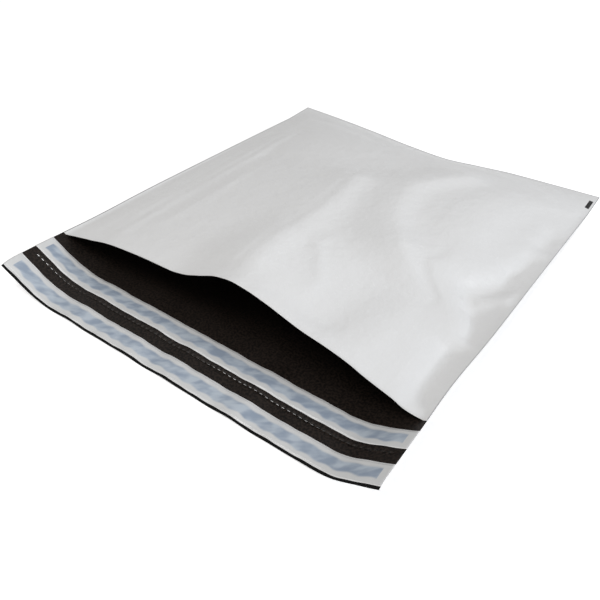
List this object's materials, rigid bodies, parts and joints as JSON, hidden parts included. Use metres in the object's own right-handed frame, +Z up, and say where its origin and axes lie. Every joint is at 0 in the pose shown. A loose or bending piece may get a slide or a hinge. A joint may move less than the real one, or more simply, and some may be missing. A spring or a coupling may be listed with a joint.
{
  "type": "poly mailer bag",
  "caption": "Open plastic film mailer lying on its back, swelled as if just filled, with a turned-out closing flap, adhesive bands, liners and a tear line.",
  "frame": {"origin": "middle of the bag's extent, on the surface that its back panel lies on", "axes": "+Z up out of the back panel, -Y towards the mouth and the closing flap, +Y towards the far fold, +X to the right seen from the mouth"},
  "size_m": [0.403, 0.4874, 0.0591],
  "materials": {
    "film": "satin white outside, black inside",
    "adhesive": "soft hot-melt adhesive, blue-grey",
    "liner": "milky release film"
  },
  "bodies": {
    "root": {"film_bag": "film", "outer_adhesive": "adhesive", "inner_adhesive": "adhesive", "outer_liner": "liner", "inner_liner": "liner"}
  },
  "joints": []
}
